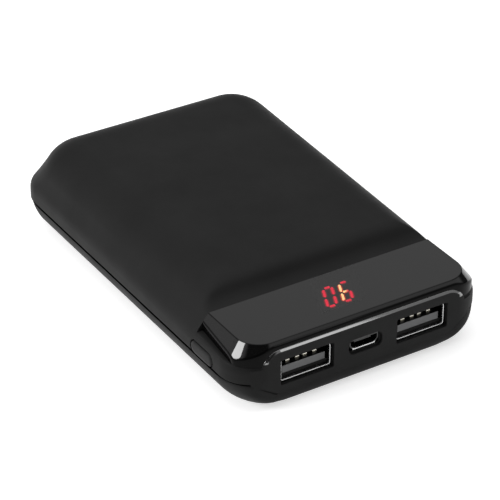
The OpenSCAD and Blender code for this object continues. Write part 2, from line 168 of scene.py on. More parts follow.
def apply_modifier(obj, modifier):
    """Puts a modifier's result in the object's mesh."""
    graph = bpy.context.evaluated_depsgraph_get()
    result = bpy.data.meshes.new_from_object(obj.evaluated_get(graph))
    obj.modifiers.remove(modifier)
    old = obj.data
    obj.data = result
    bpy.data.meshes.remove(old)


def mesh_object(name, verts, faces):
    mesh = bpy.data.meshes.new(name)
    mesh.from_pydata([tuple(v) for v in verts], [], faces)
    close_up(mesh, 1e-5)
    return add_object(name, mesh)


def bands(count, n):
    """Faces between rings of n points each, and the cap on the first ring."""
    faces = []
    for j in range(count - 1):
        for i in range(n):
            k = (i + 1) % n
            faces.append((j * n + i, j * n + k, (j + 1) * n + k, (j + 1) * n + i))
    faces.append(tuple(range(n - 1, -1, -1)))
    return faces


def loft(name, rings):
    """Closed skin over rings that have the same number of points."""
    n = len(rings[0])
    last = tuple((len(rings) - 1) * n + i for i in range(n))
    return mesh_object(name, [p for ring in rings for p in ring], bands(len(rings), n) + [last])


def prism(name, outline, axis, a, b):
    """Outline extruded along an axis: 'x' takes (y, z), 'y' takes (x, z), 'z' takes (x, y)."""
    place = {
        "x": lambda u, v, w: (w, u, v),
        "y": lambda u, v, w: (u, w, v),
        "z": lambda u, v, w: (u, v, w),
    }[axis]
    return loft(name, [[place(u, v, w) for u, v in outline] for w in (a, b)])


def block(name, lo, hi):
    outline = [(lo[0], lo[1]), (hi[0], lo[1]), (hi[0], hi[1]), (lo[0], hi[1])]
    return prism(name, outline, "z", lo[2], hi[2])


def round_rect(cx, cy, hx, hy, r, steps=8):
    pts = []
    for sx, sy, a0 in ((1, -1, -90), (1, 1, 0), (-1, 1, 90), (-1, -1, 180)):
        for i in range(steps + 1):
            a = math.radians(a0 + 90 * i / steps)
            pts.append((cx + sx * (hx - r) + r * math.cos(a), cy + sy * (hy - r) + r * math.sin(a)))
    return pts


def circle(cx, cy, r, steps):
    return [(cx + r * math.cos(math.tau * k / steps), cy + r * math.sin(math.tau * k / steps))
            for k in range(steps)]


def carve(target, cutters, how="DIFFERENCE"):
    """Cuts or joins whole bodies one after another."""
    for cutter in cutters:
        mod = target.modifiers.new("carve", "BOOLEAN")
        mod.operation = how
        mod.solver = "MANIFOLD"
        mod.object = cutter
        apply_modifier(target, mod)
        bpy.data.objects.remove(cutter)
        if len(target.data.polygons) == 0:
            raise RuntimeError("nothing is left of " + target.name)


def finish_piece(obj, name, finish, body, node, angle):
    """Brings a piece to metres, shades it smooth up to an angle, and ties it to the frame."""
    obj.name = name
    obj.data.name = name
    bm = bmesh.new()
    bm.from_mesh(obj.data)
    bmesh.ops.remove_doubles(bm, verts=bm.verts, dist=2e-4)
    bmesh.ops.dissolve_degenerate(bm, edges=bm.edges, dist=1e-4)
    bm.to_mesh(obj.data)
    bm.free()
    obj.data.transform(Matrix.Scale(MM, 4))
    dress(obj, finish)
    obj.data.shade_smooth()
    obj.data.set_sharp_from_angle(angle=math.radians(angle))
    weigh = obj.modifiers.new("normals", "WEIGHTED_NORMAL")
    weigh.keep_sharp = True
    weigh.weight = 60
    apply_modifier(obj, weigh)
    obj.data.name = name
    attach(obj, body)
    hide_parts(node)


# ---------- surfaces of the upper shell ----------
def hollow_centre():
    """Centre of the hollow behind the window, in (y, z)."""
    return (WINDOW_BACK - HOLLOW_RADIUS * math.sin(HOLLOW_FROM),
            SLOPE_LOW + HOLLOW_RADIUS * math.cos(HOLLOW_FROM))


def top_plane(y):
    """Height of the body's gently falling top."""
    return PILLOW_Z + PILLOW_RADIUS - (PILLOW_Y - y) * FALL


def brow_radius():
    """Radius that carries the slope from the end of the hollow over to the top."""
    k = 1 / (1 - math.cos(HOLLOW_TO))
    base = top_plane(hollow_centre()[0] + HOLLOW_RADIUS * math.sin(HOLLOW_TO)) + 0.08
    rise = base - SLOPE_LOW - HOLLOW_RADIUS * (math.cos(HOLLOW_FROM) - math.cos(HOLLOW_TO))
    return k * rise / (1 - k * FALL * math.sin(HOLLOW_TO))


BROW_RADIUS = brow_radius()


def slope_height(y, inward):
    """Height of the slope that runs from the window up to the body's top."""
    cy, cz = hollow_centre()
    r1 = HOLLOW_RADIUS + inward
    r2 = BROW_RADIUS - inward
    if y < WINDOW_BACK:
        return SEAT_BACK - inward + (y - WINDOW_BACK) * (SEAT_BACK - SEAT_FRONT) / WINDOW_DEPTH
    if y < cy + r1 * math.sin(HOLLOW_TO):
        return cz - math.sqrt(r1 * r1 - (y - cy) ** 2)
    by = cy + (HOLLOW_RADIUS + BROW_RADIUS) * math.sin(HOLLOW_TO)
    bz = cz - (HOLLOW_RADIUS + BROW_RADIUS) * math.cos(HOLLOW_TO)
    end = by - r2 * math.sin(BROW_END)
    if y < end:
        return bz + math.sqrt(r2 * r2 - (by - y) ** 2)
    return bz + r2 * math.cos(BROW_END) + (y - end) * math.tan(BROW_END)


def corner_centre(inset, inward):
    """How far in from the sides the centre of a corner's arc lies."""
    grown = (PILLOW_CENTRE + 1.0 - CORNER) * ease((inset - inward) / 2.4)
    return max(CORNER + grown, inset + 0.4)


def side_stations():
    """Places along the side, close together on the slope, with a pair at the window's back edge."""
    stations = [WINDOW_BACK - 0.02, WINDOW_BACK + 0.02]
    y = -38.0
    while y < 38.01:
        station = round(y, 3)
        if abs(station - WINDOW_BACK) > 0.15:
            stations.append(station)
        y += 0.4 if -34.2 < y < -17.8 else 1.9
    return sorted(stations)


SIDE_STATIONS = side_stations()
END_STATIONS = [-19 + 38 * i / 18 for i in range(19)]
ARC_STEPS = 18


def case_ring(inset_at, height_at, inward):
    """One ring round the case; the inset and height may change with y."""
    pts = []

    def place(pick):
        inset = inset_at(0.0)
        for _ in range(4):
            x, y = pick(inset)
            inset = inset_at(y)
        x, y = pick(inset)
        pts.append((x, y, height_at(y)))

    def side(sx, stations):
        for s in stations:
            place(lambda i, s=s: (sx * (HALF_WIDTH - i), s))

    def end(sy, stations):
        for s in stations:
            place(lambda i, s=s: (s, sy * (HALF_LENGTH - i)))

    def arc(sx, sy, a0):
        for j in range(ARC_STEPS + 1):
            a = math.radians(a0 + 90 * j / ARC_STEPS)

            def pick(i, a=a):
                c = corner_centre(i, inward)
                r = c - i
                return (sx * (HALF_WIDTH - c) + r * math.cos(a),
                        sy * (HALF_LENGTH - c) + r * math.sin(a))
            place(pick)

    side(1, SIDE_STATIONS)
    arc(1, 1, 0)
    end(1, END_STATIONS[::-1])
    arc(-1, 1, 90)
    side(-1, SIDE_STATIONS[::-1])
    arc(-1, -1, 180)
    end(-1, END_STATIONS)
    arc(1, -1, 270)
    return pts


def soft_case(name, inward, foot):
    """The band, soft body, slope and window seat as one closed form."""
    radius = PILLOW_RADIUS - inward
    rings = []

    def cut(z, y):
        return soft_min(z, slope_height(y, inward), SLOPE_BLEND if y > WINDOW_BACK else SEAT_BLEND)

    for inset, z in foot:
        rings.append(case_ring(lambda y, i=inset: i + inward, lambda y, z=z: z, inward))
    # the band bends inward
    bend = math.radians(24)
    bend_r = BEND_RADIUS - inward
    for j in range(1, 7):
        a = bend * j / 6
        i = bend_r * (1 - math.cos(a))
        z = BEND_START + bend_r * math.sin(a)
        rings.append(case_ring(lambda y, i=i: i + inward, lambda y, z=z: cut(z, y), inward))
    b0 = (bend_r * (1 - math.cos(bend)) + inward, BEND_START + bend_r * math.sin(bend))
    d0 = (math.sin(bend), math.cos(bend))

    def start_angle(y):
        """Where the soft body's round starts: lower toward the back."""
        return math.radians(38 - 20 * ease((y + 40) / 85))

    def centre_z(y):
        return PILLOW_Z - (PILLOW_Y - y) * FALL

    def blend(t, y):
        """Smooth curve from the end of the bend to the start of the round, as (inset, height)."""
        a = start_angle(y)
        p1 = (PILLOW_CENTRE - radius * math.cos(a), centre_z(y) + radius * math.sin(a))
        d1 = (math.sin(a), math.cos(a))
        reach = math.hypot(p1[0] - b0[0], p1[1] - b0[1]) * 0.9
        h0, h1 = 2 * t ** 3 - 3 * t ** 2 + 1, -2 * t ** 3 + 3 * t ** 2
        g0, g1 = t ** 3 - 2 * t ** 2 + t, t ** 3 - t ** 2
        return tuple(h0 * b0[k] + h1 * p1[k] + reach * (g0 * d0[k] + g1 * d1[k]) for k in (0, 1))

    for j in range(1, 9):
        t = j / 8
        rings.append(case_ring(lambda y: blend(t, y)[0], lambda y: cut(blend(t, y)[1], y), inward))

    def over(t, y):
        a0 = start_angle(y)
        a = a0 + (math.pi / 2 - a0) * t
        return (PILLOW_CENTRE - radius * math.cos(a), centre_z(y) + radius * math.sin(a))

    for j in range(1, 29):
        t = j / 28
        rings.append(case_ring(lambda y: over(t, y)[0], lambda y: cut(over(t, y)[1], y), inward))
    # the top inside the last ring: rows straight across between the two sides
    last = rings[-1]
    n_side, n_end, n_arc = len(SIDE_STATIONS), len(END_STATIONS), ARC_STEPS + 1
    base = len(rings) - 1
    n = len(last)
    half = ARC_STEPS // 2
    rear_right = n_side + half
    rear_left = rear_right + n_arc + n_end
    front_left = rear_left + n_arc + n_side
    front_right = front_left + n_arc + n_end
    right = list(range(front_right, n)) + list(range(0, rear_right + 1))
    rear = list(range(rear_right, rear_left + 1))
    left = list(range(rear_left, front_left + 1))[::-1]
    front = list(range(front_left, front_right + 1))[::-1]
    verts = [p for ring in rings for p in ring]
    faces = bands(len(rings), n)
    rows, cols = len(right), len(rear)
    first = base * n
    table = []
    for r in range(rows):
        row = []
        u = r / (rows - 1)
        for c in range(cols):
            v = c / (cols - 1)
            if c == 0:
                row.append(first + right[r])
            elif c == cols - 1:
                row.append(first + left[r])
            elif r == 0:
                row.append(first + front[c])
            elif r == rows - 1:
                row.append(first + rear[c])
            else:
                right_p, left_p = last[right[r]], last[left[r]]
                front_p, rear_p = last[front[c]], last[rear[c]]

                def patch(k):
                    """Share of the four sides less that of the four corners, along x or y."""
                    across = (1 - u) * front_p[k] + u * rear_p[k]
                    near = (1 - v) * last[right[0]][k] + v * last[left[0]][k]
                    far = (1 - v) * last[right[-1]][k] + v * last[left[-1]][k]
                    return across - ((1 - u) * near + u * far)

                x = (1 - v) * right_p[0] + v * left_p[0] + patch(0)
                y = right_p[1] + patch(1) * (ease(1 - u / 0.08) + ease((u - 0.92) / 0.08))
                verts.append((x, y, cut(centre_z(y) + radius, y)))
                row.append(len(verts) - 1)
        table.append(row)
    for r in range(rows - 1):
        for c in range(cols - 1):
            faces.append((table[r][c], table[r][c + 1], table[r + 1][c + 1], table[r + 1][c]))
    return mesh_object(name, verts, faces)


def panel_outline(top, half, low, r):
    """Front panel with two round upper corners, in (x, z)."""
    pts = [(-half, low), (half, low)]
    for sx, a0 in ((1, 0), (-1, 90)):
        for i in range(17):
            a = math.radians(a0 + 90 * i / 16)
            pts.append((sx * (half - r) + r * math.cos(a), top - r + r * math.sin(a)))
    return pts


def bib_outline(o):
    """Lower part of the front that belongs to the upper shell, in (x, z)."""
    return [
        (-BIB_HALF + o, BIB_LOW + o), (BIB_HALF - o, BIB_LOW + o),
        (BIB_HALF + BIB_FLARE - o, SEAM + o), (BIB_HALF + BIB_FLARE - o, SEAM + 4),
        (-BIB_HALF - BIB_FLARE + o, SEAM + 4), (-BIB_HALF - BIB_FLARE + o, SEAM + o)]


def slot_outline(longer, rounder=None, steps=12):
    """The button's outline with round ends, in (y, z), grown at each end and in radius."""
    r = BUTTON_ROUND + (longer if rounder is None else rounder)
    reach = BUTTON_LENGTH / 2 + longer - r
    pts = []
    for sy, a0 in ((1, -90), (-1, 90)):
        for i in range(steps + 1):
            a = math.radians(a0 + 180 * i / steps)
            pts.append((BUTTON_Y + sy * reach + r * math.cos(a), BUTTON_Z + r * math.sin(a)))
    return pts


# ---------- finishes ----------
class Graph:
    """Short calls for the nodes of a tree; a value is a socket to link or a number to set."""

    def __init__(self, tree):
        self.nodes, self.links = tree.nodes, tree.links

    def new(self, kind, **settings):
        node = self.nodes.new(kind)
        for key, value in settings.items():
            setattr(node, key, value)
        return node

    def feed(self, socket, value):
        if isinstance(value, bpy.types.NodeSocket):
            self.links.new(value, socket)
        else:
            socket.default_value = value

    def join(self, node, *values):
        """Feeds a node's inputs in order and gives its first output."""
        for socket, value in zip(node.inputs, values):
            self.feed(socket, value)
        return node.outputs[0]

    def calc(self, kind, *values):
        return self.join(self.new("ShaderNodeMath", operation=kind), *values)

    def scale(self, source, low, high, to_low=0.0, to_high=1.0, smooth=False):
        """Takes a source from one range to another, and holds it at the ends."""
        node = self.new("ShaderNodeMapRange")
        if smooth:
            node.interpolation_type = "SMOOTHSTEP"
        for label, value in (("From Min", low), ("From Max", high), ("To Min", to_low), ("To Max", to_high)):
            node.inputs[label].default_value = value
        self.links.new(source, node.inputs["Value"])
        return node.outputs["Result"]

    def between(self, source, low, high, soft):
        """1 between low and high, in millimetres, easing to 0 over the soft length."""
        up = self.scale(source, (low - soft) * MM, low * MM)
        down = self.scale(source, high * MM, (high + soft) * MM, 1.0, 0.0)
        return self.calc("MULTIPLY", up, down)

    def ramp(self, source, low, high, first, last):
        """Colour that goes from the first to the last as the source goes from low to high."""
        node = self.new("ShaderNodeValToRGB")
        for stop, position, colour in zip(node.color_ramp.elements, (low, high), (first, last)):
            stop.position = position
            stop.color = (*colour, 1)
        self.links.new(source, node.inputs["Fac"])
        return node.outputs["Color"]

    def product(self, first, second):
        """One colour multiplied by another."""
        node = self.new("ShaderNodeMix", data_type="RGBA", blend_type="MULTIPLY")
        for label, value in (("Factor", 1.0), ("A", first), ("B", second)):
            self.feed(node.inputs[label], value)
        return node.outputs["Result"]


class Finish(Graph):
    """A material with its shader and its place on the object."""

    def __init__(self, name):
        self.material = bpy.data.materials.new(name)
        self.material.use_nodes = True
        super().__init__(self.material.node_tree)
        self.shader = self.nodes["Principled BSDF"]
        self.place = self.new("ShaderNodeTexCoord").outputs["Object"]

    def put(self, label, value):
        self.feed(self.shader.inputs[label], value)

    def surface(self, shader):
        self.links.new(shader, self.nodes["Material Output"].inputs["Surface"])

    def axes(self):
        split = self.new("ShaderNodeSeparateXYZ")
        self.links.new(self.place, split.inputs["Vector"])
        return split.outputs

    def noise(self, scale, detail=3.0, stretch=None):
        source = self.place
        if stretch:
            mapping = self.new("ShaderNodeMapping")
            mapping.inputs["Scale"].default_value = stretch
            self.links.new(source, mapping.inputs["Vector"])
            source = mapping.outputs["Vector"]
        texture = self.new("ShaderNodeTexNoise")
        texture.inputs["Scale"].default_value = scale
        texture.inputs["Detail"].default_value = detail
        self.links.new(source, texture.inputs["Vector"])
        return texture.outputs["Fac"]

    def bump(self, source, strength, distance):
        node = self.new("ShaderNodeBump")
        node.inputs["Strength"].default_value = strength
        node.inputs["Distance"].default_value = distance
        self.links.new(source, node.inputs["Height"])
        self.put("Normal", node.outputs["Normal"])

    def shade_base(self, mask, at_zero, at_one):
        """Multiplies the base colour by a grey that follows the mask."""
        base = self.shader.inputs["Base Color"].links[0].from_socket
        self.put("Base Color", self.product(base, self.ramp(mask, 0.0, 1.0, grey(at_zero), grey(at_one))))


def grey(v):
    return (v, v, v)


def moulded(name, colour, rough, spread=0.05, grain=5200, depth=0.00002, tint=0.15, specular=0.5):
    """Moulded plastic: a fine grain, and slow changes of shade and roughness."""
    finish = Finish(name)
    dark = tuple(c * (1 - tint) for c in colour)
    light = tuple(min(1, c * (1 + tint)) for c in colour)
    finish.put("Base Color", finish.ramp(finish.noise(55), 0.3, 0.7, dark, light))
    gloss = finish.ramp(finish.noise(140, 4), 0.3, 0.7, grey(rough - spread), grey(rough + spread))
    finish.put("Roughness", gloss)
    finish.put("Specular IOR Level", specular)
    finish.bump(finish.noise(grain, 2), 0.35, depth)
    return finish


def metal(name, colour, rough, stretch, grain=900):
    """Drawn or plated metal, with faint streaks along one way."""
    finish = Finish(name)
    streak = finish.noise(grain, 4, stretch)
    dark = tuple(c * 0.86 for c in colour)
    finish.put("Base Color", finish.ramp(streak, 0.3, 0.7, dark, colour))
    finish.put("Roughness", finish.ramp(streak, 0.2, 0.8, grey(rough * 0.75), grey(rough * 1.25)))
    finish.put("Metallic", 1.0)
    finish.bump(streak, 0.3, STREAK_DEPTH)
    return finish


def shell_finish(name, painted_shade_low, painted_shade_high, buffed):
    """The case's black, with painted shade along the parting groove that fades out toward the front; the
    upper half is buffed on the panel's top edge.
    """
    finish = moulded(name, grey(CASE_SHADE), 0.54, 0.04, 4600, 0.000016, 0.12, CASE_SPECULAR)
    _, y, z = finish.axes()

    def zone(y_from, y_to, y_soft, z_from, z_to, z_soft):
        return finish.calc("MULTIPLY", finish.between(y, y_from, y_to, y_soft),
                           finish.between(z, z_from, z_to, z_soft))

    if buffed:
        finish.put("Coat Weight", zone(FRONT + 0.012, FRONT + 0.42, 0.01, 13.0, 20.0, 0.1))
        finish.put("Coat IOR", 2.6)
        finish.put("Coat Roughness", 0.09)
    # painted shade: near-black base colour and no gloss along the parting groove, fading out toward the front
    groove = zone(FRONT + 9.5, 60.0, 5.0, painted_shade_low, painted_shade_high, 0.08)
    finish.shade_base(groove, 1.0, 0.04)
    finish.put("Specular IOR Level", finish.scale(groove, 0.0, 1.0, CASE_SPECULAR, 0.0))
    return finish


def window_finish():
    """Glossy black; over the display it lets the lit bars through."""
    finish = Finish("window_black")
    calc = finish.calc
    finish.put("Base Color", finish.ramp(finish.noise(60, 2), 0.35, 0.65, grey(0.0026), grey(0.0032)))
    finish.put("Roughness", finish.ramp(finish.noise(220, 4), 0.3, 0.75, grey(0.035), grey(0.055)))
    x, y, z = finish.axes()
    lo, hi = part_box("display_segments")
    half_y = (hi.y - lo.y) / 2
    half_x = (hi.x - lo.x) / 2 - half_y * LEAN
    off_y = calc("SUBTRACT", y, (lo.y + hi.y) / 2)
    off_x = calc("SUBTRACT", calc("SUBTRACT", x, (lo.x + hi.x) / 2), calc("MULTIPLY", off_y, LEAN))

    def near_bars(margin, soft):
        """1 over the bars and this far round them, easing to 0 over the soft length."""
        return calc("MULTIPLY", *[
            finish.scale(calc("ABSOLUTE", off), half + margin, half + margin + soft, 1.0, 0.0, smooth=True)
            for off, half in ((off_x, half_x), (off_y, half_y))])

    def corner_distance(wide, long, r):
        """Distance out from the inner box of an outline that has round front corners."""
        dx = calc("MAXIMUM", calc("SUBTRACT", calc("ABSOLUTE", x), (wide - r) * MM), 0.0)
        dy = calc("MAXIMUM", calc("SUBTRACT", calc("MULTIPLY", y, -1.0), (long - r) * MM), 0.0)
        return calc("SQRT", calc("ADD", calc("MULTIPLY", dx, dx), calc("MULTIPLY", dy, dy)))

    # less gloss on the upright wall, on the two flanks and in a thin line at the crease
    wall = finish.between(corner_distance(HALF_WIDTH, HALF_LENGTH, CORNER), CORNER - 0.58, FAR, 0.17)
    splay = WINDOW_SPREAD / (WINDOW_DEPTH + 1)
    flank = calc("ADD", calc("ABSOLUTE", x), calc("MULTIPLY", y, splay))
    flank = finish.between(flank, HALF_WIDTH - WINDOW_IN + WINDOW_BACK * splay - 0.2, FAR, 0.15)
    crease = corner_distance(CREASE_X, HALF_LENGTH - CREASE_FRONT, CREASE_CORNER)
    crease = finish.between(crease, CREASE_CORNER - 0.1, CREASE_CORNER + 0.08, 0.06)
    dull = calc("MAXIMUM", calc("MAXIMUM", wall, flank), calc("MULTIPLY", crease, 0.75))
    finish.put("Specular IOR Level", finish.scale(dull, 0.0, 1.0, WINDOW_SPECULAR, 0.06))

    # over the bars: a tinted clear patch with the same gloss on top, and nothing on the inner face
    tinted = finish.join(finish.new("ShaderNodeBsdfTransparent"), (0.2, 0.2, 0.2, 1))
    skin = finish.new("ShaderNodeBsdfPrincipled")
    skin.inputs["Base Color"].default_value = (0.0029, 0.0029, 0.0029, 1)
    skin.inputs["Roughness"].default_value = 0.045
    skin.inputs["Specular IOR Level"].default_value = WINDOW_SPECULAR
    patch = finish.join(finish.new("ShaderNodeAddShader"), tinted, skin.outputs[0])
    bare = finish.join(finish.new("ShaderNodeBsdfTransparent"), (1, 1, 1, 1))
    inner = calc("LESS_THAN", z, (WINDOW_TOP - 1.0) * MM)
    outer = calc("SUBTRACT", 1.0, inner)
    seen = calc("MULTIPLY", outer, near_bars(0.0022, 0.0012))
    top = finish.join(finish.new("ShaderNodeMixShader"), seen, finish.shader.outputs[0], patch)
    open_below = calc("MULTIPLY", inner, near_bars(0.0018, 0.0002))
    finish.surface(finish.join(finish.new("ShaderNodeMixShader"), open_below, top, bare))
    return finish


def lit_finish(name, centre, rim, strength):
    """Red bars, hotter toward yellow along the left stroke of the second digit."""
    finish = Finish(name)
    x, y, _ = finish.axes()
    lo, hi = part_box("display_segments")
    middle = (lo.y + hi.y) / 2 / MM
    upright = finish.calc("ADD", x, finish.calc("MULTIPLY_ADD", y, -LEAN, LEAN * middle * MM))
    stroke = finish.calc("MULTIPLY", finish.between(upright, 0.75, 2.2, 0.7),
                         finish.between(y, middle - 2.7, middle + 2.7, 0.3))
    hot = finish.ramp(stroke, 0.0, 1.0, rim, centre)
    glow = finish.product(hot, finish.ramp(finish.noise(1500, 2), 0.3, 0.7, grey(0.75), grey(1.0)))
    finish.put("Base Color", glow)
    finish.put("Emission Color", glow)
    finish.put("Emission Strength", strength)
    finish.put("Roughness", 0.4)
    return finish


def board_finish():
    """Green solder mask over faint traces."""
    finish = Finish("board_green")
    cells = finish.new("ShaderNodeTexVoronoi", distance="CHEBYCHEV", feature="F1")
    cells.inputs["Scale"].default_value = 620
    finish.links.new(finish.place, cells.inputs["Vector"])
    traces = cells.outputs["Distance"]
    finish.put("Base Color", finish.ramp(traces, 0.38, 0.46, (0.012, 0.11, 0.045), (0.03, 0.2, 0.08)))
    finish.put("Roughness", 0.32)
    finish.bump(traces, 0.2, 0.00002)
    return finish


def foil_finish():
    """Creased aluminium pouch of a lithium cell."""
    finish = Finish("cell_foil")
    crease = finish.noise(160, 6)
    finish.put("Base Color", finish.ramp(crease, 0.35, 0.65, (0.52, 0.53, 0.55), (0.66, 0.67, 0.69)))
    finish.put("Metallic", 0.85)
    finish.put("Roughness", 0.36)
    finish.bump(crease, 0.4, 0.0002)
    return finish


def socket_nickel(name, mouth, painted_shade_above):
    """Nickel, bright at the mouth, with painted shade that darkens it down inside and above a height."""
    finish = Finish(name)
    streak = finish.noise(900, 4, ALONG)
    _, y, z = finish.axes()
    # painted shade: darker deeper in from the mouth and above the given height
    depth = finish.scale(y, (FRONT + mouth + 0.25) * MM, (FRONT + mouth + 1.1) * MM)
    above = finish.calc("SUBTRACT", 1.0, finish.between(z, 0.0, painted_shade_above, 0.15))
    shade = finish.ramp(finish.calc("MAXIMUM", depth, above), 0.0, 1.0, grey(0.74), grey(0.06))
    worn = finish.ramp(streak, 0.3, 0.7, grey(0.82), grey(1.0))
    finish.put("Base Color", finish.product(shade, worn))
    finish.put("Roughness", finish.ramp(streak, 0.2, 0.8, grey(0.2), grey(0.34)))
    finish.put("Metallic", 1.0)
    finish.bump(streak, 0.3, STREAK_DEPTH)
    return finish


def insulator_finish():
    """Grey insulator: pale on its front face, dark on top where the socket's roof shades it."""
    finish = moulded("insulator_grey", (0.15, 0.152, 0.155), 0.42, 0.05, 3800, 0.00001, 0.06)
    _, y, _ = finish.axes()
    finish.shade_base(finish.between(y, FRONT, FRONT + SOCKET_DEEP + 0.95, 0.12), 0.03, 1.0)
    return finish


def dress(obj, finish):
    """Gives the whole of a piece one finish."""
    obj.data.materials.clear()
    obj.data.materials.append(finish.material)
    for poly in obj.data.polygons:
        poly.material_index = 0


button_black = moulded("button_black", grey(CASE_SHADE), 0.5, 0.04, 4600, 0.000014, 0.12, 0.12)
# each shell gets painted shade at the parting groove between the two heights given
case_black_upper = shell_finish("case_black_upper", 0.0, SEAM + GROOVE + 0.2, True)
case_black_lower = shell_finish("case_black_lower", SEAM - 0.22, SEAM + 2, False)
window_black = window_finish()
lit_red = lit_finish("lit_red", (1.0, 0.62, 0.26), (0.7, 0.0, 0.03), 5.8)
lit_haze = lit_finish("lit_haze", (0.7, 0.05, 0.0), (0.34, 0.0, 0.008), 3.0)
# painted shade inside the USB sockets, deeper than the mouth
socket_metal = socket_nickel("socket_nickel", SOCKET_DEEP, SOCKET_Z + 4)

# each finish and the nodes that take it
FINISHES = (
    (case_black_upper, "upper_shell"),
    (case_black_lower, "lower_shell"),
    (window_black, "window_cap"),
    (button_black, "power_button"),
    (lit_red, "display_segments"),
    (metal("nickel", (0.78, 0.78, 0.79), 0.26, ALONG), "usb_shell_left", "usb_shell_right"),
    # painted shade inside the micro socket and above a height 1 mm under its middle
    (socket_nickel("micro_nickel", MICRO_DEEP, MICRO_Z - 1.0), "micro_usb_shell"),
    (metal("gold_plate", (0.8, 0.77, 0.68), 0.22, (1, 0.1, 1), 1400),
     "usb_contacts_left", "usb_contacts_right", "micro_usb_contacts"),
    (insulator_finish(), "usb_tongue_left", "usb_tongue_right"),
    (moulded("insulator_black", grey(0.02), 0.4, 0.05, 3800, 0.00001), "micro_usb_tongue"),
    (metal("pressed_steel", (0.6, 0.61, 0.62), 0.32, (0.2, 1, 1)), "switch_body"),
    (moulded("switch_black", grey(0.03), 0.45), "switch_plunger"),
    (moulded("display_black", grey(0.006), 0.5), "display_body"),
    (board_finish(), "main_board", "protection_board"),
    (metal("zinc_plate", (0.55, 0.56, 0.58), 0.34, (1, 1, 0.3), 1600), "board_screws"),
    (moulded("ferrite", grey(0.06), 0.6, 0.08, 2400, 0.00004, 0.3), "power_inductor"),
    (moulded("chip_epoxy", grey(0.02), 0.55, 0.06, 3000), "controller_chip"),
    (moulded("brown_ceramic", (0.42, 0.29, 0.17), 0.4, 0.05, 2000, 0.00001), "ceramic_capacitors"),
    (foil_finish(), "cell_lower", "cell_upper"),
    (moulded("foam", grey(0.03), 0.9, 0.05, 1500, 0.0002, 0.3), "cell_pads"),
    (metal("tab_nickel", (0.66, 0.66, 0.62), 0.3, (1, 0.1, 1), 1200), "cell_tabs"),
    (moulded("red_silicone", (0.55, 0.02, 0.02), 0.5), "lead_red"),
    (moulded("black_silicone", grey(0.02), 0.5), "lead_black"),
)
for finish, *names in FINISHES:
    for name in names:
        dress(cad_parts[name], finish)


# ---------- upper shell ----------
def case_outline():
    """The case's plan, a hair inside its sides, to trim what is added to the front."""
    return round_rect(0, 0, HALF_WIDTH - 0.01, HALF_LENGTH + 0.001, CORNER, 24)


def front_rings(outline, steps):
    """Rings in (x, z) outlines that follow the front inward: each step is an offset and a depth."""
    return [[(x, FRONT + depth, z) for x, z in outline(offset)] for offset, depth in steps]


def add_to_front(shell, part):
    carve(part, [prism("outline", case_outline(), "z", 0, 30)], "INTERSECT")
    carve(shell, [part], "UNION")


def make_upper_shell():
    low = SEAM + GROOVE
    edge = 0.22
    foot = [(0.6, SEAM - 6.0), (0.6, low), (edge, low)]
    for j in range(1, 5):
        a = math.radians(90 * j / 4)
        foot.append((edge * (1 - math.sin(a)), low + edge * (1 - math.cos(a))))
    foot += [(0.0, low + 0.9), (0.0, BEND_START)]
    shell = soft_case("upper_shell_skin", 0.0, foot)
    add_to_front(shell, loft("panel", front_rings(
        lambda o: panel_outline(PANEL_TOP - o, PANEL_HALF - o, BIB_LOW + 1, PANEL_ROUND - o),
        ((0.57, 0.0), (0.1, 0.27), (0.03, 0.35), (0.0, 0.45), (0.0, PANEL_DEPTH)))))
    add_to_front(shell, prism("apron", bib_outline(0), "y", FRONT, FRONT + WALL))

    # the room inside
    inner = soft_case("inner", WALL, [(0.0, -1.0), (0.0, BEND_START)])
    carve(inner, [block("keep", (-FAR, FRONT - 1, -2), (FAR, WINDOW_BACK + WALL, FAR))])
    inside, wall_in = HALF_WIDTH - WALL, -HALF_WIDTH + WALL
    plan = round_rect(0, 0, inside, HALF_LENGTH - WALL, CORNER - WALL)
    lower_room = prism("room", plan, "z", -1, SEAT_FRONT - 1.7)
    middle = (FRONT + PANEL_DEPTH + WINDOW_BACK - 2) / 2
    plan = round_rect(0, middle, HALF_WIDTH - 3.6, (WINDOW_DEPTH - PANEL_DEPTH - 2) / 2, 5)
    under_window = prism("well", plan, "z", 3, 23)
    bay = block("bay", (wall_in, BUTTON_Y - 6.5, 3), (wall_in + 4, BUTTON_Y + 6.5, 11.97))
    behind = block("behind", (wall_in + 0.4, FRONT + 12, 3), (inside - 0.4, WINDOW_BACK + WALL, 11.2))
    carve(shell, [inner, lower_room, under_window, bay, behind])

    # the edge at the seam, and the groove round the front's lower part
    skirt = block("skirt", (-FAR, -60, -5), (FAR, 60, SEAM))
    carve(skirt, [prism("spare", bib_outline(0), "y", FRONT - 2, FRONT + WALL)])
    carve(shell, [skirt])
    ring = prism("ring", bib_outline(-0.01), "y", FRONT - 2, FRONT + 0.6)
    carve(ring, [prism("core", bib_outline(GROOVE), "y", FRONT - 3, FRONT + 1.6)])
    carve(shell, [ring])

    # the openings for sockets and button
    wide, tall = MOUTH_HALF
    for s in (-1, 1):
        mouth = front_rings(lambda o: round_rect(s * SOCKET_X, SOCKET_Z, wide + o, tall + o, 0.35 + o),
                            ((0.2, -0.5), (0.2, 0.0), (0.06, 0.06), (0.0, 0.2), (0.0, 4.0)))
        carve(shell, [loft("mouth", mouth)])
    dish = front_rings(lambda o: round_rect(0, MICRO_Z - 0.05, 4.4 - o, 1.85 - o, 1.4 - o),
                       ((-0.15, -0.5), (-0.15, 0.0), (0.0, 0.15), (0.0, 0.7), (0.2, 0.9)))
    hole = prism("hole", round_rect(0, MICRO_Z, *MICRO_HOLE_HALF, 0.5), "y", FRONT - 1, FRONT + 4)
    carve(shell, [loft("dish", dish), hole])
    slot = [[(-HALF_WIDTH + depth, y, z) for y, z in slot_outline(SLOT_GAP + o)]
            for o, depth in ((0.15, -1.0), (0.15, 0.0), (0.0, 0.15), (0.0, WALL + 1))]
    carve(shell, [loft("slot", slot)])
    finish_piece(shell, "upper_shell_skin", case_black_upper, "housing", "upper_shell", 28)


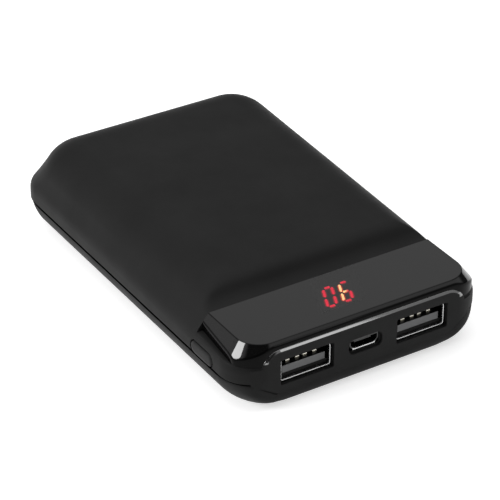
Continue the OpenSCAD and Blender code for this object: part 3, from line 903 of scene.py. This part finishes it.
# ---------- lower shell ----------
def round_rect_distance(x, y, hx, hy, r, cy=0.0):
    qx, qy = abs(x) - hx + r, abs(y - cy) - hy + r
    return math.hypot(max(qx, 0), max(qy, 0)) + min(max(qx, qy), 0) - r


def last_inside(distance, lo, hi, halvings):
    """Furthest place between lo and hi where a distance is still negative."""
    for _ in range(halvings):
        mid = (lo + hi) / 2
        if distance(mid) < 0:
            lo = mid
        else:
            hi = mid
    return lo


def rounding(radius, z):
    """How far in a rounded lower edge lies at a height."""
    return radius - math.sqrt(max(radius ** 2 - max(radius - z, 0) ** 2, 0))


def tray_ring(z, directions):
    """Ring of the tray at one height: its plan, its rounded sides and its rounded ends taken together."""
    side, nose, tail = rounding(UNDER_SIDE, z), rounding(UNDER_FRONT, z), rounding(UNDER_BACK, z)

    def limit(x, y):
        plan = round_rect_distance(x, y, HALF_WIDTH, HALF_LENGTH, CORNER)
        sides = round_rect_distance(x, y, HALF_WIDTH - side, HALF_LENGTH + 4.2 - side, CORNER + 6 - side)
        ends = max(FRONT + nose - y, y - (HALF_LENGTH - tail))
        return -soft_min(soft_min(-plan, -sides, 0.5), -ends, 1.6)

    ring = []
    for dx, dy in directions:
        reach = last_inside(lambda t: limit(dx * t, dy * t), 0.5, 1.1, 26)
        ring.append((dx * reach, dy * reach, z))
    return ring


def tray_directions():
    """Points round the case, one for each point of a tray ring."""
    side, end, r = 43, 24, 8.5
    points = []
    for a0, sx, sy in ((0, 1, 1), (90, -1, 1), (180, -1, -1), (270, 1, -1)):
        if a0 == 0:
            points += [(HALF_WIDTH, -side + 2 * side * i / 30) for i in range(31)]
        if a0 == 90:
            points += [(end - 2 * end * i / 16, HALF_LENGTH) for i in range(17)]
        if a0 == 180:
            points += [(-HALF_WIDTH, side - 2 * side * i / 30) for i in range(31)]
        if a0 == 270:
            points += [(-end + 2 * end * i / 16, FRONT) for i in range(17)]
        for j in range(1, 24):
            a = math.radians(a0 + 90 * j / 24)
            points.append((sx * (HALF_WIDTH - r) + r * math.cos(a), sy * (HALF_LENGTH - r) + r * math.sin(a)))
    return points


def make_lower_shell():
    directions = tray_directions()
    levels = [0.0, 0.02, 0.08, 0.18, 0.32, 0.5, 0.72, 1.0, 1.35, 1.75, 2.2, 2.7, 3.3, 4.0, 4.8, 5.6, 6.4, 7.1]
    rings = [tray_ring(z, directions) for z in levels + [SEAM - 0.2]]
    edge = rings[-1]
    for inset, z in ((0.06, SEAM - 0.06), (0.2, SEAM)):
        shrink = [1 - inset / math.hypot(x, y) for x, y, _ in edge]
        rings.append([(x * k, y * k, z) for (x, y, _), k in zip(edge, shrink)])
    tray = loft("lower_shell_skin", rings)
    room = []
    for z in [WALL + v for v in (0.0, 0.05, 0.2, 0.5, 1.0, 1.7, 2.6, 3.6, 5.0)] + [SEAM + 1]:
        inner = tray_ring(min(z - WALL, 6.9), directions)
        room.append([(x * (1 - WALL / HALF_WIDTH), y * (1 - WALL / HALF_LENGTH), z) for x, y, _ in inner])
    carve(tray, [loft("room", room)])

    # the locating lip
    wide, long, r = HALF_WIDTH - WALL, HALF_LENGTH - WALL, CORNER - WALL
    lip = prism("lip", round_rect(0, 0, wide - 0.02, long - 0.02, r), "z", SEAM - 2.5, SEAM + 1.5)
    hollow = prism("hollow", round_rect(0, 0, wide - 1, long - 1, r - 1), "z", SEAM - 4, SEAM + 4)
    front_gap = block("front_gap", (-FAR, FRONT - 1, 0), (FAR, FRONT + WALL + 2.5, 30))
    button_gap = block("button_gap", (-FAR, BUTTON_Y - 7, SEAM - 0.8), (-HALF_WIDTH + 5, BUTTON_Y + 7, 20))
    carve(lip, [hollow, front_gap, button_gap])
    carve(tray, [lip], "UNION")

    # the board's posts and their pilot holes
    posts, pilots = [], []
    for sx in (-1, 1):
        for px, py, low in POSTS:
            profile = ((2.7, low), (2.5, low + 1.5), (2.5, POST_TOP - 0.1), (2.4, POST_TOP))
            turned = [[(x, y, z) for x, y in circle(sx * px, py, r, 32)] for r, z in profile]
            posts.append(loft("post", turned))
            pilots.append(prism("pilot", circle(sx * px, py, PILOT_RADIUS, 24), "z", 2.6, 12))
    carve(tray, posts, "UNION")
    carve(tray, pilots + [prism("bib", bib_outline(0), "y", FRONT - 2, FRONT + WALL)])
    finish_piece(tray, "lower_shell_skin", case_black_lower, "housing", "lower_shell", 28)


# ---------- window ----------
def window_reach(x, y, spread):
    """Negative inside the window's outline, with its bevel spread this far from the crease."""
    e = WINDOW_EDGE
    wall = round_rect_distance(x, y, HALF_WIDTH - e, HALF_LENGTH - e, CORNER - e)
    flank = abs(x) - HALF_WIDTH + WINDOW_IN - WINDOW_SPREAD * (WINDOW_BACK - y) / (WINDOW_DEPTH + 1)
    half = 25
    middle = FRONT + CREASE_FRONT + half
    bevel = round_rect_distance(x, y, CREASE_X + spread, half + spread, CREASE_CORNER + spread, middle)
    return -soft_min(soft_min(-wall, -flank, 0.4), -bevel, 0.3)


def window_ring(spread, z):
    """One level of the window: straight back, right side, front corner and front, then mirrored."""
    hub = (23.5, -44.3)
    rays = [((0.0, WINDOW_BACK - (WINDOW_BACK + 45.0) * i / 12), (1.0, 0.0)) for i in range(13)]
    for j in range(1, 30):
        a = math.radians(90 * j / 30)
        rays.append((hub, (math.cos(a), -math.sin(a))))
    rays += [((hub[0] * (1 - i / 10), hub[1]), (0.0, -1.0)) for i in range(11)]
    right = []
    for (x, y), (dx, dy) in rays:
        reach = last_inside(lambda t: window_reach(x + dx * t, y + dy * t, spread), 0.5, 36.0, 30)
        right.append((x + dx * reach, y + dy * reach, z))
    return right + [(-x, y, z) for x, y, z in right[-2::-1]]


def make_window():
    crease_r = 0.3
    back_off = crease_r * math.tan(math.radians(BEVEL_ANGLE / 2))
    levels = []
    for j in range(7):
        a = math.radians(BEVEL_ANGLE * j / 6)
        levels.append((-back_off + crease_r * math.sin(a), WINDOW_TOP - crease_r + crease_r * math.cos(a)))
    top_of_bevel = levels[-1][1]
    for j in range(1, 25):
        z = top_of_bevel - (top_of_bevel - 11.6) * j / 24
        levels.append(((WINDOW_TOP - z) / BEVEL, z))
    cap = loft("window", [window_ring(d, z) for d, z in levels[::-1]])
    seat = prism("seat", [(FRONT - 5, -5), (0, -5), (WINDOW_BACK + 1, SEAT_BACK + 0.0598),
                          (FRONT - 5, SEAT_FRONT - 0.2989)], "x", -40, 40)
    panel = prism("panel", panel_outline(PANEL_TOP, PANEL_HALF, -2, PANEL_ROUND), "y",
                  FRONT - 2, FRONT + PANEL_DEPTH)
    front_in, back_in = FRONT + WINDOW_WALL, WINDOW_BACK + 5
    room = round_rect(0, (front_in + back_in) / 2, HALF_WIDTH - WINDOW_IN - WINDOW_WALL - 0.8,
                      (back_in - front_in) / 2, CREASE_CORNER, 12)
    carve(cap, [seat, panel, prism("pocket", room, "z", -5, WINDOW_TOP - WINDOW_WALL)])
    finish_piece(cap, "window", window_black, "housing", "window_cap", 18)


# ---------- button ----------
def make_button():
    """Cap with a soft face, a flange behind the wall and a stem that meets the switch."""
    lo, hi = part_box("power_button")
    face, tip = lo.x / MM, hi.x / MM
    wall_in = -HALF_WIDTH + WALL
    flange = (FLANGE_LENGTH - BUTTON_LENGTH) / 2, FLANGE_ROUND - BUTTON_ROUND
    rings = [[(face + depth, y, z) for y, z in slot_outline(-o, steps=14)]
             for o, depth in ((1.0, 0.0), (0.62, 0.04), (0.3, 0.1), (0.1, 0.22), (0.0, 0.4))]
    for x, longer, rounder in ((wall_in, 0, 0), (wall_in, *flange), (wall_in + 0.6, *flange),
                               (wall_in + 0.75, flange[0] - 0.15, flange[1] - 0.15)):
        rings.append([(x, y, z) for y, z in slot_outline(longer, rounder, 14)])
    button = loft("button", rings)
    stem = [[(x, y, z) for y, z in circle(BUTTON_Y, BUTTON_Z, r, 24)]
            for x, r in ((wall_in + 0.3, STEM_RADIUS), (tip - 0.15, STEM_RADIUS), (tip, STEM_RADIUS - 0.15))]
    carve(button, [loft("stem", stem)], "UNION")
    finish_piece(button, "side_button", button_black, "button", "power_button", 35)


# ---------- socket shells ----------
def make_usb_shell(side, node, name):
    """Folded shell with round corners and a rolled lip, sprung through two slots on top."""
    x0, y0, z0 = side * SOCKET_X, FRONT + SOCKET_DEEP, SOCKET_Z
    deep = USB_DEPTH - SOCKET_DEEP

    def rings(steps):
        """Rings from steps of inset, corner radius and depth."""
        return [[(x0 + x, y0 + depth, z0 + z)
                 for x, z in round_rect(0, 0, USB_WIDTH / 2 - inset, USB_HEIGHT / 2 - inset, r, 6)]
                for inset, r, depth in steps]

    outside = ((0.15, 0.55, 0.0), (0.08, 0.62, 0.03), (0.025, 0.68, 0.1), (0.0, 0.7, 0.2), (0.0, 0.7, deep))
    inside = ((0.15, 0.55, -0.6), (0.15, 0.55, 0.0), (0.23, 0.5, 0.03), (0.285, 0.44, 0.1),
              (USB_SHEET, 0.4, 0.2), (USB_SHEET, 0.4, deep - USB_SHEET))
    shell = loft(name, rings(outside))
    carve(shell, [loft("room", rings(inside))])
    slots, springs, ears = [], [], []
    bent = [(y0 + y, z0 + z) for y, z in
            ((4.4, 2.85), (4.4, 2.55), (6.6, 2.3), (7.7, 2.5), (7.7, 2.78), (6.6, 2.6))]
    for s in (-1, 1):
        x, ear = x0 + s * SPRING_X, x0 + s * EAR_X
        slots.append(block("slot", (x - 1, y0 + 4.5, z0 + 2), (x + 1, y0 + 8.7, z0 + 4)))
        springs.append(prism("spring", bent, "x", x - 0.7, x + 0.7))
        ears.append(block("ear", (ear - 0.62, y0 + 8.2, 8.2), (ear + 0.6, y0 + 11.2, 8.5)))
    carve(shell, slots)
    carve(shell, springs + ears, "UNION")
    finish_piece(shell, name, socket_metal, "housing", node, 30)


# ---------- lit bars ----------
def bar_tree():
    """Sweeps a flat bar with tapered ends along every edge it is given."""
    tree = bpy.data.node_groups.new("lit_bars", "GeometryNodeTree")
    face = tree.interface
    face.new_socket("Geometry", in_out="INPUT", socket_type="NodeSocketGeometry")
    for label, value in (("Bar Width", 0.00064), ("Bar Thickness", 0.00026), ("Taper", 3.0)):
        socket = face.new_socket(label, in_out="INPUT", socket_type="NodeSocketFloat")
        socket.default_value = value
    face.new_socket("Finish", in_out="INPUT", socket_type="NodeSocketMaterial")
    face.new_socket("Geometry", in_out="OUTPUT", socket_type="NodeSocketGeometry")
    graph = Graph(tree)
    calc = graph.calc
    entry, leave = graph.new("NodeGroupInput").outputs, graph.new("NodeGroupOutput")

    def step(kind, **inputs):
        """Adds a node, feeds its inputs by name and gives its first output."""
        node = graph.new("GeometryNode" + kind)
        for label, value in inputs.items():
            graph.feed(node.inputs[label.replace("_", " ")], value)
        return node.outputs[0]

    path = step("ResampleCurve", Count=15, Curve=step("MeshToCurve", Mesh=entry["Geometry"]))
    along = step("SplineParameter")
    off = calc("ABSOLUTE", calc("SUBTRACT", calc("MULTIPLY", along, 2.0), 1.0))
    narrowing = calc("POWER", off, calc("MULTIPLY", entry["Taper"], 3.0))
    thin = calc("SUBTRACT", 1.0, calc("MULTIPLY", narrowing, 0.62))
    path = step("SetCurveRadius", Curve=path, Radius=thin)
    profile = step("CurvePrimitiveQuadrilateral", Width=entry["Bar Width"], Height=entry["Bar Thickness"])
    profile = step("FilletCurve", Curve=profile, Radius=0.00006)
    bars = step("CurveToMesh", Curve=path, Profile_Curve=profile, Scale=thin, Fill_Caps=True)
    bars = step("SetMaterial", Geometry=step("RealizeInstances", Geometry=bars), Material=entry["Finish"])
    graph.feed(leave.inputs["Geometry"], bars)
    return tree


def digit_paths(z):
    """Centre lines of the bars of two leaning digits, 0 and 6, at one height."""
    corner = {"a": (0, 2), "b": (1, 2), "c": (0, 1), "d": (1, 1), "e": (0, 0), "f": (1, 0)}
    zero, six = ("ab", "bd", "df", "fe", "ec", "ca"), ("ab", "df", "fe", "ec", "ca", "cd")
    middle = WINDOW_BACK - 6.6
    verts, edges = [], []
    for shift, bars in ((-DIGIT_SHIFT, zero), (DIGIT_SHIFT, six)):
        for bar in bars:
            ends = []
            for i, j in (corner[key] for key in bar):
                up = (j - 1) * DIGIT_HEIGHT / 2
                ends.append(Vector((DIGITS_X + shift + (i - 0.5) * DIGIT_WIDTH + up * LEAN, middle + up, z)))
            trim = (ends[1] - ends[0]).normalized() * BAR_GAP
            verts += [(ends[0] + trim) * MM, (ends[1] - trim) * MM]
            edges.append((len(verts) - 2, len(verts) - 1))
    mesh = bpy.data.meshes.new("digit_paths")
    mesh.from_pydata(verts, edges, [])
    return add_object("digit_paths", mesh)


def make_digits(name, finish, bar_width, bar_thickness, drop):
    """Lit bars just under the window's inner face, or this much lower."""
    digits = digit_paths(WINDOW_TOP - WINDOW_WALL - 0.15 - drop)
    tree = bar_tree()
    mod = digits.modifiers.new("bars", "NODES")
    mod.node_group = tree
    given = {"Bar Width": bar_width, "Bar Thickness": bar_thickness, "Finish": finish.material}
    for item in tree.interface.items_tree:
        if item.item_type == "SOCKET" and item.in_out == "INPUT" and item.name in given:
            mod[item.identifier] = given[item.name]
    apply_modifier(digits, mod)
    digits.name = name
    digits.data.name = name
    close_up(digits.data, 1e-6)
    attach(digits, "housing")
    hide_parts("display_segments")


make_upper_shell()
make_lower_shell()
make_window()
make_button()
make_usb_shell(-1, "usb_shell_left", "usb_shell_left_folded")
make_usb_shell(1, "usb_shell_right", "usb_shell_right_folded")
make_digits("lit_digits", lit_red, 0.00052, 0.00026, 0.0)
make_digits("lit_digits_rim", lit_haze, 0.00108, 0.0001, 0.07)


# ---------- stage, light and camera ----------
def make_floor():
    """Pale paper that shows white to the camera and in gloss, and keeps the object's shadow."""
    mesh = bpy.data.meshes.new("floor")
    corners = [(x * FLOOR_HALF, y * FLOOR_HALF, 0) for x, y in ((-1, -1), (1, -1), (1, 1), (-1, 1))]
    mesh.from_pydata(corners, [], [(0, 1, 2, 3)])
    floor = add_object("floor", mesh)
    paper = Finish("floor_paper")
    paper.put("Base Color", (0.8, 0.8, 0.8, 1))
    paper.put("Roughness", 0.9)
    paper.put("Specular IOR Level", 0.0)
    path = paper.new("ShaderNodeLightPath").outputs
    mirrored = paper.calc("MAXIMUM", path["Is Glossy Ray"], path["Is Transmission Ray"])
    seen = paper.calc("MAXIMUM", path["Is Camera Ray"], mirrored)
    glow = paper.join(paper.new("ShaderNodeEmission"), (1, 1, 1, 1), paper.calc("MULTIPLY", seen, 0.62))
    paper.surface(paper.join(paper.new("ShaderNodeAddShader"), paper.shader.outputs[0], glow))
    mesh.materials.append(paper.material)


def soft_light(name, place, aim, size, power):
    data = bpy.data.lights.new(name, "AREA")
    data.shape = "RECTANGLE"
    data.size, data.size_y = size
    data.energy = power
    lamp = add_object(name, data)
    lamp.location = place
    lamp.rotation_mode = "QUATERNION"
    lamp.rotation_quaternion = (Vector(aim) - Vector(place)).to_track_quat("-Z", "Y")


def make_world():
    """Even white, darker toward the front left and toward the right."""
    world = bpy.data.worlds.new("studio")
    bpy.context.scene.world = world
    world.use_nodes = True
    sky = Graph(world.node_tree)
    direction = sky.new("ShaderNodeTexCoord").outputs["Generated"]

    def toward(way, low, high, level_low, level_high):
        """Level that changes smoothly as a ray turns toward one way."""
        facing = sky.new("ShaderNodeVectorMath", operation="DOT_PRODUCT")
        sky.join(facing, direction, way)
        return sky.scale(facing.outputs["Value"], low, high, level_low, level_high, smooth=True)

    front_left = toward((-0.45, -0.70, 0.55), 0.72, 0.86, 0.52, 0.03)
    right_side = toward((0.975, 0.195, 0.1), 0.82, 0.95, 1.0, 0.1)
    sky.join(sky.nodes["Background"], (1, 1, 1, 1), sky.calc("MULTIPLY", front_left, right_side))


make_floor()
soft_light("overhead", (0.0, 0.05, 0.9), (0, 0, 0), (1.2, 1.2), 4.0)
soft_light("front_strip", (0.128, -0.297, 0.125), (-0.007, -0.0515, 0.0155), (0.036, 0.06), 0.013)
soft_light("left_box", (-0.82, 0.18, 0.51), (-0.03, -0.045, 0.015), (0.42, 0.3), 4.2)
make_world()

lens = bpy.data.cameras.new("camera")
lens.sensor_width = 36
lens.lens = 170.09
lens.clip_start = 0.01
lens.clip_end = 20
camera = add_object("camera", lens)
turn = Euler((math.radians(90 - CAMERA_RISE), 0, math.radians(CAMERA_TURN)))
camera.matrix_world = Matrix.Translation(CAMERA_PLACE) @ turn.to_matrix().to_4x4()
bpy.context.scene.camera = camera
bpy.context.scene.view_settings.view_transform = "Standard"
